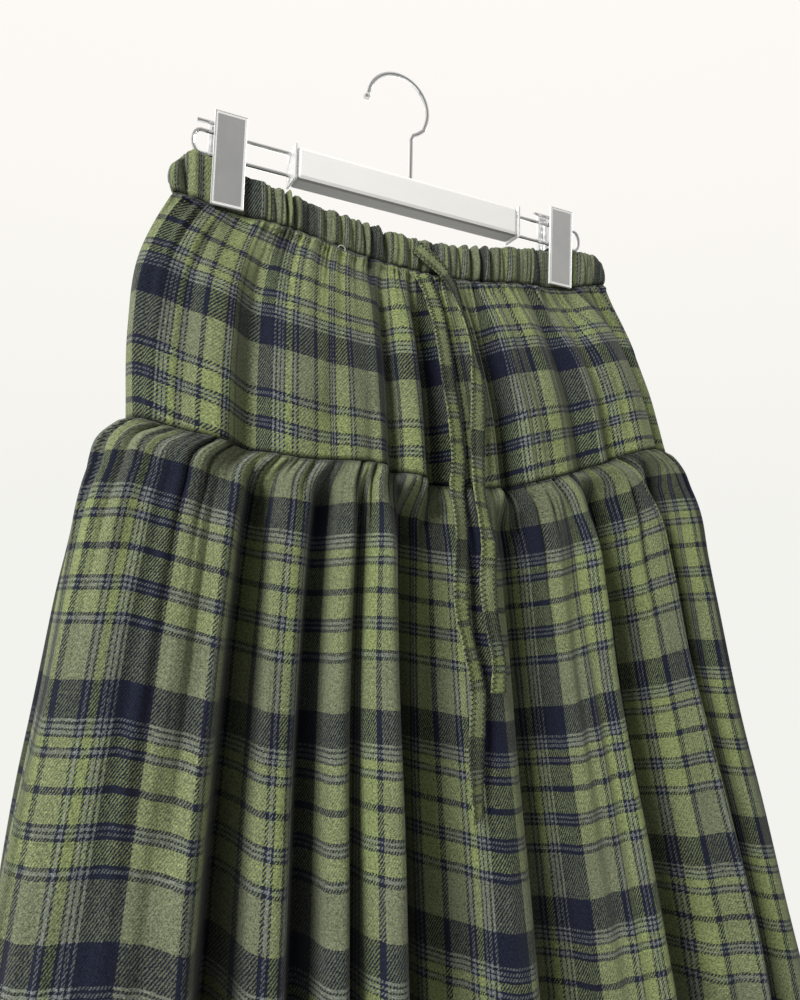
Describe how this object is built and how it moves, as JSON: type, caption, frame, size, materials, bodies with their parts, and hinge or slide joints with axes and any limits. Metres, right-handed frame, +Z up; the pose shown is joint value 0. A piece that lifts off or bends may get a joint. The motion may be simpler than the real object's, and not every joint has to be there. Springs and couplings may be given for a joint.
{
  "type": "maxi skirt on a clip hanger",
  "caption": "Long gathered skirt with an elastic waistband, a fitted yoke and a full lower tier, hanging by its waistband from a bar hanger with sliding clips.",
  "frame": {"origin": "inner top of the hanger's hook, where a wall hook or rail carries it", "axes": "+Z up, the front of the skirt faces -Y, +X to the viewer's right along the hanger's bar"},
  "size_m": [0.615, 0.1743, 0.9786],
  "materials": {
    "casing_cloth": "brushed plaid flannel, gathered",
    "yoke_cloth": "brushed plaid flannel",
    "tier_cloth": "brushed plaid flannel",
    "tie_cloth": "brushed plaid flannel tape",
    "bar_plastic": "white, satin",
    "cap_plastic": "clear to milky, polished",
    "wire": "polished",
    "clip_metal": "polished rim, satin panel"
  },
  "bodies": {
    "root": {"waistband_front": "casing_cloth", "waistband_back": "casing_cloth", "yoke_front": "yoke_cloth", "yoke_back": "yoke_cloth", "tier_front": "tier_cloth", "tier_back": "tier_cloth", "tie_short": "tie_cloth", "tie_long": "tie_cloth", "hanger_bar": "bar_plastic", "bar_cap_left": "cap_plastic", "bar_cap_right": "cap_plastic", "hanger_hook": "wire", "rod_left": "wire", "rod_right": "wire", "clip_left_front": "clip_metal", "clip_left_back": "clip_metal", "clip_left_slider": "clip_metal", "clip_left_pin": "wire", "clip_right_front": "clip_metal", "clip_right_back": "clip_metal", "clip_right_slider": "clip_metal", "clip_right_pin": "wire"}
  },
  "joints": []
}
